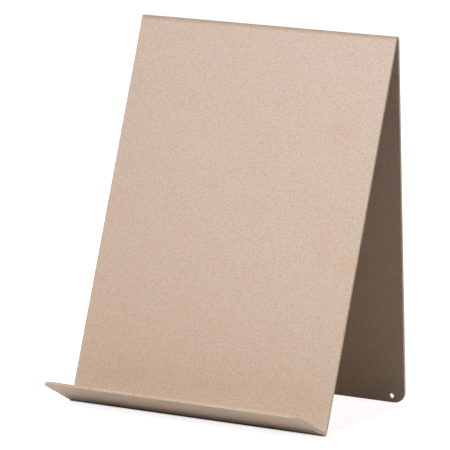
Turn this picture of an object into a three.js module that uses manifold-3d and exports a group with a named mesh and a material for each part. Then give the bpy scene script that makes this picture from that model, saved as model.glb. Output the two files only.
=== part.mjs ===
// A bookstand of bent sheet steel, in millimetres, +Z up.
//
// Seen from its right-hand end (+X), the sheet runs from the lip in front (-Y), round
// the lower fold, up the plate that leans back, over the ridge, and down the leg behind:
//
//               ridge
//              //|
//            //  |          inner side: the lip's trough, the plate's front, the leg's back
//          //    |          outer side: the lip's underside, and both faces of the tent
//   lip  //      |
//     \\_/       | leg
//      lower fold
//
// The front sheet is the lip, the lower fold, the plate and the front half of the ridge.
// The rear leg is the other half of the ridge and the flat leg below it.

import * as THREE from 'three';
import { mergeVertices } from 'three/addons/utils/BufferGeometryUtils.js';
import Module from 'manifold-3d';

// Driving dimensions, in millimetres and degrees.

const SHEET_WIDTH = 240; // along both folds, X
const SHEET_THICKNESS = 2.5;

const PLATE_LEAN = 20.1; // degrees, the plate's back-tilt from upright
const PLATE_FLAT = 318.5; // flat length of the plate, between the lower fold and the ridge

const LIP_RISE = 27.5; // degrees, the lip's slope above the ground
const LIP_FLAT = 49.5; // flat length of the lip, from the lower fold to its free edge
const LIP_CORNER_RADIUS = 10;

const LEG_SPLAY = 2.9; // degrees, how far the leg's foot stands back from upright
const LEG_CORNER_RADIUS = 10;

const FOLD_INNER_RADIUS = 1;
const RIDGE_INNER_RADIUS = 0.5;

const HANGING_HOLE_DIAMETER = 4;
const HANGING_HOLE_FROM_SIDE = 12.3;
const HANGING_HOLE_FROM_FOOT = 5.4;

// How finely the round shapes are faceted, and how far a cutter stands clear of its cut.
const ARC_SEGMENTS = 16;
const HOLE_SEGMENTS = 32;
const CUTTER_OVERRUN = 1;

const COAT_COLOUR = 0xcfb8a7;

// The side profile, in (y, z).

const radians = THREE.MathUtils.degToRad;
const lean = radians(PLATE_LEAN);
const rise = radians(LIP_RISE);
const splay = radians(LEG_SPLAY);
const foldOuterRadius = FOLD_INNER_RADIUS + SHEET_THICKNESS;
const ridgeOuterRadius = RIDGE_INNER_RADIUS + SHEET_THICKNESS;

// Directions along the flats, away from the lower fold or the ridge, and the normals of
// their inner sides, which face the trough, the front and the back.
const plateUp = new THREE.Vector2(Math.sin(lean), Math.cos(lean));
const plateNormal = new THREE.Vector2(-Math.cos(lean), Math.sin(lean));
const lipOut = new THREE.Vector2(-Math.cos(rise), Math.sin(rise));
const lipNormal = new THREE.Vector2(Math.sin(rise), Math.cos(rise));
const legDown = new THREE.Vector2(Math.sin(splay), -Math.cos(splay));
const legNormal = new THREE.Vector2(Math.cos(splay), Math.sin(splay));

const along = (start, direction, distance) => start.clone().addScaledVector(direction, distance);

// The lower fold's centre is on the trough's side, and its outer side touches the ground.
const foldCentre = new THREE.Vector2(0, foldOuterRadius);
const plateFoot = along(foldCentre, plateNormal, -FOLD_INNER_RADIUS);
const plateHead = along(plateFoot, plateUp, PLATE_FLAT);
const lipRoot = along(foldCentre, lipNormal, -FOLD_INNER_RADIUS);
const lipEdge = along(lipRoot, lipOut, LIP_FLAT);

// The ridge bends the other way, so its centre is inside the tent.
const ridgeCentre = along(plateHead, plateNormal, -ridgeOuterRadius);
const legHead = along(ridgeCentre, legNormal, ridgeOuterRadius);

// The leg is cut square and long enough for the lower corner of its edge to touch the ground.
const legHeadLowSide = along(legHead, legNormal, -SHEET_THICKNESS);
const legFlat = Math.min(legHead.y, legHeadLowSide.y) / Math.cos(splay);
const legEdge = along(legHead, legDown, legFlat);

function frontSheetProfile() {
  const shape = new THREE.Shape();
  const lipUnderEdge = along(lipEdge, lipNormal, -SHEET_THICKNESS);
  shape.moveTo(lipUnderEdge.x, lipUnderEdge.y);
  shape.lineTo(lipEdge.x, lipEdge.y);
  arc(shape, foldCentre, FOLD_INNER_RADIUS, -Math.PI / 2 - rise, -lean);
  arc(shape, ridgeCentre, ridgeOuterRadius, Math.PI - lean, Math.PI / 2);
  arc(shape, ridgeCentre, RIDGE_INNER_RADIUS, Math.PI / 2, Math.PI - lean);
  arc(shape, foldCentre, foldOuterRadius, -lean, -Math.PI / 2 - rise);
  return shape;
}

function rearLegProfile() {
  const shape = new THREE.Shape();
  const legInnerEdge = along(legEdge, legNormal, -SHEET_THICKNESS);
  shape.moveTo(legEdge.x, legEdge.y);
  shape.lineTo(legInnerEdge.x, legInnerEdge.y);
  arc(shape, ridgeCentre, RIDGE_INNER_RADIUS, splay, Math.PI / 2);
  arc(shape, ridgeCentre, ridgeOuterRadius, Math.PI / 2, splay);
  return shape;
}

function arc(shape, centre, radius, start, end) {
  shape.absarc(centre.x, centre.y, radius, start, end, end < start);
}

// Solids.

const wasm = await Module();
wasm.setup();

function solidFrom(geometry) {
  geometry.deleteAttribute('normal');
  geometry.deleteAttribute('uv');
  const merged = mergeVertices(geometry);
  return new wasm.Manifold(new wasm.Mesh({
    numProp: 3,
    vertProperties: merged.attributes.position.array,
    triVerts: new Uint32Array(merged.index.array),
  }));
}

function geometryFrom(solid) {
  const { vertProperties, triVerts } = solid.getMesh();
  const geometry = new THREE.BufferGeometry();
  geometry.setAttribute('position', new THREE.BufferAttribute(vertProperties, 3));
  geometry.setIndex(new THREE.BufferAttribute(triVerts, 1));
  return geometry;
}

const X = new THREE.Vector3(1, 0, 0);
const inSpace = (v) => new THREE.Vector3(0, v.x, v.y);

// A side profile drawn in (y, z), pulled along X to the sheet's full width.
function sheetSolid(profile) {
  const geometry = new THREE.ExtrudeGeometry(profile, {
    depth: SHEET_WIDTH,
    bevelEnabled: false,
    curveSegments: ARC_SEGMENTS,
  });
  const turn = new THREE.Matrix4().makeBasis(new THREE.Vector3(0, 1, 0), new THREE.Vector3(0, 0, 1), X);
  return solidFrom(geometry.translate(0, 0, -SHEET_WIDTH / 2).applyMatrix4(turn));
}

// The frame of a flap's free edge: X along the edge, Y outwards, Z through the sheet, with
// its origin in the middle of the edge.
function edgeFrame(edge, outwards, normal) {
  const out = inSpace(outwards);
  const through = new THREE.Vector3().crossVectors(X, out);
  const middle = inSpace(along(edge, normal, -SHEET_THICKNESS / 2));
  return new THREE.Matrix4().makeBasis(X, out, through).setPosition(middle);
}

// A cutter goes right through the sheet and stands clear of both faces.
const cutDepth = SHEET_THICKNESS + 2 * CUTTER_OVERRUN;

// What a corner radius takes off a flap: the square corner outside the arc, on the +X side
// for side = 1 and on the -X side for side = -1.
function cornerCutter(frame, radius, side) {
  const corner = (side * SHEET_WIDTH) / 2;
  const shape = new THREE.Shape();
  shape.moveTo(corner + side * CUTTER_OVERRUN, CUTTER_OVERRUN);
  shape.lineTo(corner - side * radius, CUTTER_OVERRUN);
  const [start, end] = side > 0 ? [Math.PI / 2, 0] : [Math.PI / 2, Math.PI];
  shape.absarc(corner - side * radius, -radius, radius, start, end, side > 0);
  shape.lineTo(corner + side * CUTTER_OVERRUN, -radius);
  const geometry = new THREE.ExtrudeGeometry(shape, {
    depth: cutDepth,
    bevelEnabled: false,
    curveSegments: ARC_SEGMENTS,
  });
  return solidFrom(geometry.translate(0, 0, -cutDepth / 2).applyMatrix4(frame));
}

function hangingHoleCutter(frame, side) {
  const radius = HANGING_HOLE_DIAMETER / 2;
  const geometry = new THREE.CylinderGeometry(radius, radius, cutDepth, HOLE_SEGMENTS);
  geometry.rotateX(Math.PI / 2);
  geometry.translate(side * (SHEET_WIDTH / 2 - HANGING_HOLE_FROM_SIDE), -HANGING_HOLE_FROM_FOOT, 0);
  return solidFrom(geometry.applyMatrix4(frame));
}

function frontSheetGeometry() {
  const lipFrame = edgeFrame(lipEdge, lipOut, lipNormal);
  let solid = sheetSolid(frontSheetProfile());
  for (const side of [-1, 1]) {
    solid = solid.subtract(cornerCutter(lipFrame, LIP_CORNER_RADIUS, side));
  }
  return geometryFrom(solid);
}

function rearLegGeometry() {
  const legFrame = edgeFrame(legEdge, legDown, legNormal);
  let solid = sheetSolid(rearLegProfile());
  for (const side of [-1, 1]) {
    solid = solid.subtract(cornerCutter(legFrame, LEG_CORNER_RADIUS, side));
    solid = solid.subtract(hangingHoleCutter(legFrame, side));
  }
  return geometryFrom(solid);
}

// The assembly.

function coatedSteel() {
  return new THREE.MeshStandardMaterial({
    color: COAT_COLOUR,
    roughness: 0.6,
    metalness: 0.1,
    flatShading: true,
  });
}

function namedMesh(name, geometry) {
  const mesh = new THREE.Mesh(geometry, coatedSteel());
  mesh.name = name;
  return mesh;
}

const bookstand = new THREE.Group();
bookstand.add(namedMesh('front_sheet', frontSheetGeometry()));
bookstand.add(namedMesh('rear_leg', rearLegGeometry()));

// The origin is on the ground, under the middle of the stand.
const extent = new THREE.Box3().setFromObject(bookstand);
const middle = extent.getCenter(new THREE.Vector3());
bookstand.position.set(-middle.x, -middle.y, -extent.min.z);

export default bookstand;
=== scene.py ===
# A bookstand of bent sheet steel under a champagne powder coat.
# Lengths are in metres, angles in degrees. +Z is up, and the reader sits on the -Y side.
import bpy
import bmesh
from math import radians, sin, cos
from mathutils import Matrix, Vector


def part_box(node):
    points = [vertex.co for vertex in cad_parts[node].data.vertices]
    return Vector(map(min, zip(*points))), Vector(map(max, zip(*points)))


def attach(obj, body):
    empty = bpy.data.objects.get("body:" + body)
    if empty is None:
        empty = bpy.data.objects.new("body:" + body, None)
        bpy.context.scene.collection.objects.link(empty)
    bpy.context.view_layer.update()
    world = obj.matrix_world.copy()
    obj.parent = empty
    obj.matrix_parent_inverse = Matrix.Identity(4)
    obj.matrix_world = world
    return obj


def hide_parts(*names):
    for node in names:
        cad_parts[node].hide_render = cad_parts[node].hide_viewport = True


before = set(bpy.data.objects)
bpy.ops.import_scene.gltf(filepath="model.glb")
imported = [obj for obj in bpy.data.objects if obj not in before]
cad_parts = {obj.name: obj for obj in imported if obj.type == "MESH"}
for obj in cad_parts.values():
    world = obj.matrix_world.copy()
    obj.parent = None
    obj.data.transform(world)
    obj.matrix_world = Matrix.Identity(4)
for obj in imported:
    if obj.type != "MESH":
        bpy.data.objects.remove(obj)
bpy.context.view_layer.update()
print("loaded the nodes", sorted(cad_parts))


def fromScreen(red, green, blue):
    # a colour as a paint program shows it, 0 to 255, made linear
    def linear(level):
        level = level / 255
        return level / 12.92 if level <= 0.04045 else ((level + 0.055) / 1.055) ** 2.4
    return (linear(red), linear(green), linear(blue), 1)


# the camera, at the photograph's place
shot = {
    "azimuth": 31.27,
    "elevation": 10.95,
    "distance": 3.595,
    "lens": 357.9,      # mm
    "sensor": 36,       # mm
    "sightEnd": 60,
    "aimAt": (0.0046, -0.0057, 0.1521),
}


def placeCamera():
    turn, tilt = radians(shot["azimuth"]), radians(shot["elevation"])
    back = Vector((sin(turn) * cos(tilt), -cos(turn) * cos(tilt), sin(tilt)))
    lens = bpy.data.cameras.new("camera")
    lens.sensor_width = shot["sensor"]
    lens.lens = shot["lens"]
    lens.clip_end = shot["sightEnd"]
    camera = bpy.data.objects.new("camera", lens)
    camera.location = Vector(shot["aimAt"]) + back * shot["distance"]
    camera.rotation_euler = back.to_track_quat("Z", "Y").to_euler()
    bpy.context.scene.collection.objects.link(camera)
    bpy.context.scene.camera = camera


placeCamera()
print("camera placed")


def plug(tree, socket, value):
    # a value, or another node's socket, goes into this one
    if isinstance(value, bpy.types.NodeSocket):
        tree.links.new(value, socket)
    else:
        socket.default_value = value


def addNode(tree, kind, settings=None, **inputs):
    # one shader node: settings are its own properties, inputs are values or sockets to link
    node = tree.nodes.new("ShaderNode" + kind)
    for name, value in (settings or {}).items():
        setattr(node, name, value)
    for name, value in inputs.items():
        plug(tree, node.inputs[name.replace("_", " ")], value)
    return node


def addMath(tree, operation, *values):
    node = addNode(tree, "Math", {"operation": operation})
    for socket, value in zip(node.inputs, values):
        plug(tree, socket, value)
    return node.outputs["Value"]


def ramp(tree, value, span, ends=(0, 1), smooth=False):
    # the first of ends up to the start of span, the second from its end on, and a slope between
    slope = {"interpolation_type": "SMOOTHSTEP" if smooth else "LINEAR"}
    return addNode(tree, "MapRange", slope, Value=value, From_Min=span[0], From_Max=span[1],
                   To_Min=ends[0], To_Max=ends[1]).outputs["Result"]


def mixed(tree, amount, colour, other, how="MIX"):
    return addNode(tree, "MixRGB", {"blend_type": how}, Fac=amount, Color1=colour,
                   Color2=other).outputs["Color"]


def tinted(tree, amount, colour, tint):
    # the colour multiplied by the tint, by as much as amount says
    return mixed(tree, amount, colour, tint, "MULTIPLY")


# the powder coat: satin champagne with a fine sandy grain
coat = {
    "darkGrain": fromScreen(197, 171, 150),
    "lightGrain": fromScreen(219, 197, 182),
    "grainScale": 2700,             # features per metre
    # painted highlight: a few grains are lightened towards this near-white glint
    "paintedGlint": fromScreen(238, 228, 220),
    "paintedGlintSpan": (0.88, 0.98),      # of a grain's own number, 0 to 1: where the painted glint highlight starts and is full
    "paintedGlintStrength": 0.25,
    "beadScale": 880,               # fine pebbles on top of the grains
    "beadSpan": (0.15, 0.75),       # from a pebble's middle: light up to the first, dark from the second
    "beadShare": 0.9,
    "reliefScale": 2200,            # the unevenness of the skin
    "reliefDetail": 2.0,
    "reliefRoughness": 0.6,
    "reliefHeight": 0.00003,
    "reliefStrength": 0.8,
    "driftScale": 48,               # the slow change between a bluer and a yellower coat
    "driftDetail": 5.0,
    "driftRoughness": 0.85,
    "driftSpan": (0.35, 0.65),
    "bluer": (1.000, 1.008, 1.024, 1),
    "yellower": (1.002, 0.990, 0.972, 1),
    "paintedLightSlopes": [                  # painted light: whiter towards the top and brighter towards the right, each along an axis from one place and tint to another
        ("Z", (0.02, 0.30), (1.000, 0.995, 0.945, 1), (1.008, 1.020, 1.048, 1)),
        ("X", (-0.10, 0.10), (0.965, 0.957, 0.957, 1), (1.030, 1.045, 1.055, 1)),
    ],
    "stains": [                     # x, height and radius, on the plate's front
        (0.085, 0.228, 0.019),
        (0.088, 0.149, 0.016),
        (0.090, 0.133, 0.013),
        (0.112, 0.128, 0.014),
        (0.010, 0.194, 0.008),
        (0.029, 0.166, 0.008),
    ],
    "stainTint": (0.988, 0.950, 0.885, 1),
    "endLightTint": (1.10, 1.07, 0.98, 1),       # painted light: the cut ends are made a little brighter and yellower
    "endDepths": (0.0005, 0.0002),          # how far from the end that starts and is full
    "ridgeShadeTint": (0.83, 0.78, 0.71, 1),     # painted shade: the ridge's upward-facing curve is darkened and warmed
    "ridgeHeights": (-0.0005, 0.0015),      # above the middle of the ridge's curve
    "contactShadeTint": (0.16, 0.145, 0.14, 1),     # painted contact shadow, dark where the lower fold stands on the table
    "footHeights": (0.0012, 0.0036),        # darkest below the first, gone above the second
    "footBehind": 0.004,                    # how far behind the middle of the fold it goes
    "footFromEnd": 0.0012,                  # how far from the right-hand end it stops
    "footFade": 0.001,
    "metallic": 0.0,
    "specular": 0.30,
    "roughest": 0.66,
    "smoothest": 0.50,
    "clearWeight": 0.30,                    # the clear binder over the pigment
    "clearRoughness": 0.33,
}


def stainMask(tree, place, run):
    # soft round spots on the plate's front
    mask = 0.0
    for x, height, radius in coat["stains"]:
        below = run["plateTop"].z - height
        spot = (x, run["plateTop"].y - below * run["plateUp"].y / run["plateUp"].z, height)
        away = addNode(tree, "VectorMath", {"operation": "DISTANCE"})
        plug(tree, away.inputs[0], place)
        plug(tree, away.inputs[1], spot)
        fade = ramp(tree, away.outputs["Value"], (0, radius), (1, 0), smooth=True)
        mask = addMath(tree, "MAXIMUM", mask, fade)
    return mask


def contactShadeMask(tree, axes, run, halfWidth):
    # painted contact shadow on the underside of the lower fold, but neither its right-hand end nor the leg's
    # foot
    mask = ramp(tree, axes["Z"], coat["footHeights"], (1, 0), smooth=True)
    edges = {"Y": run["foldCentre"].y + coat["footBehind"], "X": halfWidth - coat["footFromEnd"]}
    for axis, edge in edges.items():
        inside = ramp(tree, axes[axis], (edge, edge + coat["footFade"]), (1, 0))
        mask = addMath(tree, "MULTIPLY", mask, inside)
    return mask


def grainTone(tree, place, grain):
    # sandy grains under fine pebbles, and a few with a painted glint highlight
    beads = addNode(tree, "TexVoronoi", Vector=place, Scale=coat["beadScale"])
    bead = ramp(tree, beads.outputs["Distance"], coat["beadSpan"], (coat["beadShare"], 0))
    level = addMath(tree, "MULTIPLY_ADD", grain["Red"], 1 - coat["beadShare"], bead)
    tone = mixed(tree, level, coat["darkGrain"], coat["lightGrain"])
    bright = ramp(tree, grain["Blue"], coat["paintedGlintSpan"], (0, coat["paintedGlintStrength"]))
    return mixed(tree, bright, tone, coat["paintedGlint"])


def hueStainsAndPaintedLight(tree, place, tone, run, halfWidth):
    # slow changes of hue and stains, and painted light: slopes of light across the sheet, brighter cut ends,
    # a shaded ridge and a contact shadow under the lower fold
    axes = addNode(tree, "SeparateXYZ", Vector=place).outputs
    drift = addNode(tree, "TexNoise", Vector=place, Scale=coat["driftScale"],
                    Detail=coat["driftDetail"], Roughness=coat["driftRoughness"])
    side = ramp(tree, drift.outputs["Fac"], coat["driftSpan"])
    tone = tinted(tree, 1.0, tone, mixed(tree, side, coat["bluer"], coat["yellower"]))
    tone = tinted(tree, stainMask(tree, place, run), tone, coat["stainTint"])
    # painted light: slopes of light across the sheet
    for axis, span, fromTint, toTint in coat["paintedLightSlopes"]:
        tone = tinted(tree, 1.0, tone, mixed(tree, ramp(tree, axes[axis], span), fromTint, toTint))
    # painted light on the cut ends
    outward = addMath(tree, "ABSOLUTE", axes["X"])
    litEnd = ramp(tree, outward, [halfWidth - depth for depth in coat["endDepths"]])
    tone = tinted(tree, litEnd, tone, coat["endLightTint"])
    # painted shade over the ridge
    shadedRidge = ramp(tree, axes["Z"], [run["ridgeCentre"].z + height for height in coat["ridgeHeights"]])
    tone = tinted(tree, shadedRidge, tone, coat["ridgeShadeTint"])
    # painted contact shadow under the lower fold
    return tinted(tree, contactShadeMask(tree, axes, run, halfWidth), tone, coat["contactShadeTint"])


def powderCoat(run, halfWidth):
    material = bpy.data.materials.new("champagnePowderCoat")
    material.use_nodes = True
    tree = material.node_tree
    paint = tree.nodes["Principled BSDF"]
    place = addNode(tree, "TexCoord").outputs["Object"]
    # every grain of the powder has its own tone and shine
    grains = addNode(tree, "TexVoronoi", Vector=place, Scale=coat["grainScale"])
    grain = addNode(tree, "SeparateColor", Color=grains.outputs["Color"]).outputs
    tone = hueStainsAndPaintedLight(tree, place, grainTone(tree, place, grain), run, halfWidth)
    gloss = ramp(tree, grain["Green"], (0, 1), (coat["roughest"], coat["smoothest"]))
    relief = addNode(tree, "TexNoise", Vector=place, Scale=coat["reliefScale"],
                     Detail=coat["reliefDetail"], Roughness=coat["reliefRoughness"])
    skin = addNode(tree, "Bump", Height=relief.outputs["Fac"], Distance=coat["reliefHeight"],
                   Strength=coat["reliefStrength"])

    paint.inputs["Metallic"].default_value = coat["metallic"]
    paint.inputs["Specular IOR Level"].default_value = coat["specular"]
    paint.inputs["Coat Weight"].default_value = coat["clearWeight"]
    paint.inputs["Coat Roughness"].default_value = coat["clearRoughness"]
    tree.links.new(tone, paint.inputs["Base Color"])
    tree.links.new(gloss, paint.inputs["Roughness"])
    tree.links.new(skin.outputs["Normal"], paint.inputs["Normal"])
    tree.links.new(skin.outputs["Normal"], paint.inputs["Coat Normal"])
    return material


# the bent sheet
sheet = {
    "thickness": 0.0025,
    "plateLean": 20.1,       # back from upright
    "lipRise": 27.5,         # above the table
    "legSplay": 2.9,         # out from upright
    "foldRadius": 0.001,     # inside the lower fold
    "foldSteps": 24,
    "ridgeRadius": 0.0005,   # inside the ridge
    "ridgeSteps": 28,        # with these, the crest is near the middle of a facet
    "cornerRadius": 0.010,   # at the free corners of lip and leg
    "cornerSteps": 14,
    "holeAcross": 0.004,     # the two hanging holes
    "holeFromSide": 0.0123,
    "holeFromFoot": 0.0054,
    "holeSteps": 32,
    "edgeRounding": 0.00045,
    "edgeSteps": 4,
    "sharpAngle": 60,        # edges turned by more than this are cut edges, and are rounded
    "partingSlack": 1e-7,    # how near the parting plane a point counts as on it
}


def sideView(front, leg):
    # where the sheet's inner side runs, seen from the right-hand end; front and leg are the CAD boxes
    lean, rise, splay = radians(sheet["plateLean"]), radians(sheet["lipRise"]), radians(sheet["legSplay"])
    thick = sheet["thickness"]
    foldOuter = sheet["foldRadius"] + thick
    ridgeOuter = sheet["ridgeRadius"] + thick
    run = {
        "lipIn": Vector((0, cos(rise), -sin(rise))),
        "plateUp": Vector((0, sin(lean), cos(lean))),
        "legDown": Vector((0, sin(splay), -cos(splay))),
        "foldTurn": rise + radians(90) - lean,
        "ridgeTurn": -(radians(180) - lean - splay),
        "ridgeCentre": Vector((0, front[1].y, front[1].z - ridgeOuter)),
    }
    plateFace = Vector((0, -cos(lean), sin(lean)))
    lipFace = Vector((0, sin(rise), cos(rise)))
    legFace = Vector((0, cos(splay), sin(splay)))
    plateTop = run["plateTop"] = run["ridgeCentre"] + plateFace * ridgeOuter
    # down the plate to the height where the lower fold's outer side touches the table
    footHeight = foldOuter - sheet["foldRadius"] * plateFace.z
    run["plateLength"] = (plateTop.z - footHeight) / run["plateUp"].z
    plateFoot = plateTop - run["plateUp"] * run["plateLength"]
    run["foldCentre"] = plateFoot + plateFace * sheet["foldRadius"]
    lipRoot = run["foldCentre"] - lipFace * sheet["foldRadius"]
    # out along the lip until the lower corner of its edge is the frontmost point of the frame
    run["lipLength"] = (lipRoot.y - lipFace.y * thick - front[0].y) / run["lipIn"].y
    run["lipEdge"] = lipRoot - run["lipIn"] * run["lipLength"]
    legTop = run["ridgeCentre"] + legFace * ridgeOuter
    run["legLength"] = (legTop.z - legFace.z * thick - leg[0].z) / -run["legDown"].z
    run["legEdge"] = legTop + run["legDown"] * run["legLength"]
    run["plateFace"], run["legFace"] = plateFace, legFace
    return run


def pull(bm, edge, move):
    # a flat: the edge drawn out along a straight line
    made = bmesh.ops.extrude_edge_only(bm, edges=[edge])["geom"]
    ends = [g for g in made if isinstance(g, bmesh.types.BMVert)]
    bmesh.ops.translate(bm, verts=ends, vec=move)
    return next(e for e in ends[0].link_edges if e.other_vert(ends[0]) in ends)


def roll(bm, edge, centre, turn, steps):
    # a fold: the edge swung round the line X through centre
    made = bmesh.ops.spin(bm, geom=[edge, *edge.verts], cent=centre, axis=(1, 0, 0), angle=turn, steps=steps,
                          use_merge=False)
    return next(g for g in made["geom_last"] if isinstance(g, bmesh.types.BMEdge))


def roundCorners(bm, corners):
    bmesh.ops.bevel(bm, geom=corners, offset=sheet["cornerRadius"], offset_type="OFFSET",
                    segments=sheet["cornerSteps"], profile=0.5, affect="VERTICES", material=-1)


def punchHoles(bm, legFlat, run, halfWidth):
    # the leg's flat is filled again between its outline and the two rings
    outline = list(legFlat.edges)
    bmesh.ops.delete(bm, geom=[legFlat], context="FACES_ONLY")
    upright = run["legFace"].to_track_quat("Z", "Y").to_matrix().to_4x4()
    rings = []
    for side in (-1, 1):
        centre = run["legEdge"] - run["legDown"] * sheet["holeFromFoot"]
        centre.x = side * (halfWidth - sheet["holeFromSide"])
        ring = bmesh.ops.create_circle(bm, cap_ends=False, segments=sheet["holeSteps"],
                                       radius=sheet["holeAcross"] / 2,
                                       matrix=Matrix.Translation(centre) @ upright)
        rings += [e for e in bm.edges if e.verts[0] in ring["verts"]]
    bmesh.ops.triangle_fill(bm, use_beauty=True, edges=outline + rings, normal=run["legFace"])


def bendSheet(run, halfWidth):
    # the whole sheet from lip to leg, before it is parted at the ridge
    bm = bmesh.new()
    start = [bm.verts.new(run["lipEdge"] + Vector((side * halfWidth, 0, 0))) for side in (-1, 1)]
    edge = bm.edges.new(start)
    edge = pull(bm, edge, run["lipIn"] * run["lipLength"])
    edge = roll(bm, edge, run["foldCentre"], run["foldTurn"], sheet["foldSteps"])
    edge = pull(bm, edge, run["plateUp"] * run["plateLength"])
    edge = roll(bm, edge, run["ridgeCentre"], run["ridgeTurn"], sheet["ridgeSteps"])
    edge = pull(bm, edge, run["legDown"] * run["legLength"])
    roundCorners(bm, start + list(edge.verts))
    legFlat = min(bm.faces, key=lambda f: (f.calc_center_median() - run["legEdge"]).length)
    punchHoles(bm, legFlat, run, halfWidth)
    # the plate's face looks towards the reader, and the thickness goes on behind it
    bmesh.ops.recalc_face_normals(bm, faces=bm.faces)
    plateFlat = max(bm.faces, key=lambda f: f.calc_area())
    if plateFlat.normal.dot(run["plateFace"]) < 0:
        bmesh.ops.reverse_faces(bm, faces=bm.faces)
    bmesh.ops.solidify(bm, geom=bm.faces[:], thickness=sheet["thickness"])
    bmesh.ops.recalc_face_normals(bm, faces=bm.faces)
    rims = [e for e in bm.edges if e.calc_face_angle(0) > radians(sheet["sharpAngle"])]
    bmesh.ops.bevel(bm, geom=rims, offset=sheet["edgeRounding"], offset_type="OFFSET",
                    segments=sheet["edgeSteps"], profile=0.5, affect="EDGES", material=-1)
    return bm


def partAtRidge(bm, run, keepFront):
    # one side of the upright plane through the middle of the ridge, closed where it is cut
    half = bm.copy()
    cut = bmesh.ops.bisect_plane(half, geom=half.verts[:] + half.edges[:] + half.faces[:],
                                 dist=sheet["partingSlack"], plane_co=run["ridgeCentre"],
                                 plane_no=(0, 1, 0), clear_outer=keepFront, clear_inner=not keepFront)
    rim = [g for g in cut["geom_cut"] if isinstance(g, bmesh.types.BMEdge)]
    bmesh.ops.holes_fill(half, edges=rim, sides=0)
    for edge in rim:
        edge.smooth = False
    return half


def finishPiece(bm, name, material, node):
    bmesh.ops.recalc_face_normals(bm, faces=bm.faces)
    mesh = bpy.data.meshes.new(name)
    bm.to_mesh(mesh)
    bm.free()
    mesh.shade_smooth()
    mesh.materials.append(material)
    piece = bpy.data.objects.new(name, mesh)
    bpy.context.scene.collection.objects.link(piece)
    shading = piece.modifiers.new("flatsStayFlat", "WEIGHTED_NORMAL")
    shading.keep_sharp = True
    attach(piece, "root")
    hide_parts(node)


frontBox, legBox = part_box("front_sheet"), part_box("rear_leg")
halfWidth = frontBox[1].x
run = sideView(frontBox, legBox)
coating = powderCoat(run, halfWidth)
print("coat mixed, with", len(coat["stains"]), "stains")
wholeSheet = bendSheet(run, halfWidth)
finishPiece(partAtRidge(wholeSheet, run, True), "frontSheet", coating, "front_sheet")
finishPiece(partAtRidge(wholeSheet, run, False), "rearLeg", coating, "rear_leg")
wholeSheet.free()
flats = {part: round(run[part + "Length"] * 1000, 2) for part in ("plate", "lip", "leg")}
print("sheet bent, with flats in mm of", flats)


# the table top and the air round it
studio = {
    "tableColour": (0.86, 0.86, 0.86, 1),
    "tableSize": 14,
    "lift": (0.84, 1.0),                # how much white the camera sees added, near and far
    "liftSpan": (0.22, 0.75),           # near and far, from the stand's middle
    "shine": (0.08, 1.0),               # the same for what the sheet mirrors
    "shineSpan": (0.085, 0.21),
    "contactShadow": (0.0008, 0.0035),  # from the lower fold's line, where it is darkest and gone
    "contactEnd": 0.002,                # how far past the fold's ends it fades out
    "airColour": (1.0, 1.0, 1.0, 1),
    "airStrength": 0.01,
}


def tableGlow(tree, run, halfWidth):
    # white for the camera and for mirrored rays, less beside the stand so that its shadow stays
    look = addNode(tree, "LightPath").outputs
    place = addNode(tree, "TexCoord").outputs["Object"]
    away = addNode(tree, "VectorMath", {"operation": "LENGTH"})
    plug(tree, away.inputs[0], place)
    lift = ramp(tree, away.outputs["Value"], studio["liftSpan"], studio["lift"], smooth=True)
    shine = ramp(tree, away.outputs["Value"], studio["shineSpan"], studio["shine"], smooth=True)
    # and none where the lower fold touches the table
    across = addNode(tree, "SeparateXYZ", Vector=place).outputs
    fromFold = addMath(tree, "ABSOLUTE", addMath(tree, "SUBTRACT", across["Y"], run["foldCentre"].y))
    sideways = addMath(tree, "ABSOLUTE", across["X"])
    pastEnd = ramp(tree, sideways, (halfWidth, halfWidth + studio["contactEnd"]))
    clear = addMath(tree, "MAXIMUM", ramp(tree, fromFold, studio["contactShadow"]), pastEnd)
    seen = addMath(tree, "MULTIPLY", addMath(tree, "MULTIPLY", look["Is Camera Ray"], lift), clear)
    mirrored = addMath(tree, "MAXIMUM", look["Is Glossy Ray"], look["Is Transmission Ray"])
    return addMath(tree, "MULTIPLY_ADD", mirrored, shine, seen)


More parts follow.
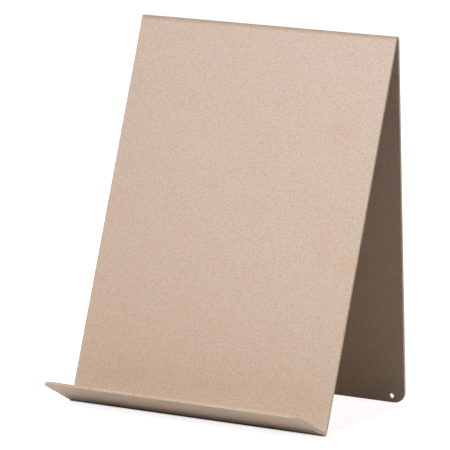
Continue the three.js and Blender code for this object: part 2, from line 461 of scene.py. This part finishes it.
def tableTop(run, halfWidth):
    material = bpy.data.materials.new("whiteTable")
    material.use_nodes = True
    tree = material.node_tree
    tree.nodes.remove(tree.nodes["Principled BSDF"])
    glow = addNode(tree, "Emission", Strength=tableGlow(tree, run, halfWidth))
    matt = addNode(tree, "BsdfDiffuse", Color=studio["tableColour"])
    both = addNode(tree, "AddShader")
    plug(tree, both.inputs[0], glow.outputs["Emission"])
    plug(tree, both.inputs[1], matt.outputs["BSDF"])
    plug(tree, tree.nodes["Material Output"].inputs["Surface"], both.outputs["Shader"])
    bm = bmesh.new()
    bmesh.ops.create_grid(bm, x_segments=1, y_segments=1, size=studio["tableSize"] / 2)
    mesh = bpy.data.meshes.new("tableTop")
    bm.to_mesh(mesh)
    bm.free()
    mesh.materials.append(material)
    table = bpy.data.objects.new("tableTop", mesh)
    bpy.context.scene.collection.objects.link(table)


def openAir():
    # white to look at, straight or mirrored, and hardly a light
    world = bpy.data.worlds.new("openAir")
    bpy.context.scene.world = world
    world.use_nodes = True
    tree = world.node_tree
    look = addNode(tree, "LightPath").outputs
    seen = addMath(tree, "MAXIMUM", look["Is Camera Ray"], look["Is Glossy Ray"])
    seen = addMath(tree, "MAXIMUM", seen, look["Is Transmission Ray"])
    air = tree.nodes["Background"]
    air.inputs["Color"].default_value = studio["airColour"]
    plug(tree, air.inputs["Strength"], ramp(tree, seen, (0, 1), (studio["airStrength"], 1)))


# soft boxes: where each one stands, its size and its power in watts
lamps = {
    "key": {"at": (0.00, -0.92, 0.88), "size": 0.25, "power": 10.7},
    "topLeft": {"at": (-0.90, -0.30, 1.30), "size": 1.0, "power": 1.0},
    "right": {"at": (1.50, 0.40, 0.45), "size": 1.0, "power": 6.4},
    "back": {"at": (-0.50, 1.60, 1.00), "size": 1.2, "power": 7.0},
    "left": {"at": (-1.50, -0.20, 0.60), "size": 1.2, "power": 2.8},
}


def softBox(name, lamp):
    light = bpy.data.lights.new(name, "AREA")
    light.shape = "SQUARE"
    light.size = lamp["size"]
    light.energy = lamp["power"]
    box = bpy.data.objects.new(name, light)
    box.location = lamp["at"]
    toObject = Vector(shot["aimAt"]) - box.location
    box.rotation_euler = toObject.to_track_quat("-Z", "Y").to_euler()
    bpy.context.scene.collection.objects.link(box)


tableTop(run, halfWidth)
openAir()
for name, lamp in lamps.items():
    softBox(name, lamp)
bpy.context.scene.view_settings.view_transform = "Standard"
print("studio lit with", len(lamps), "soft boxes")
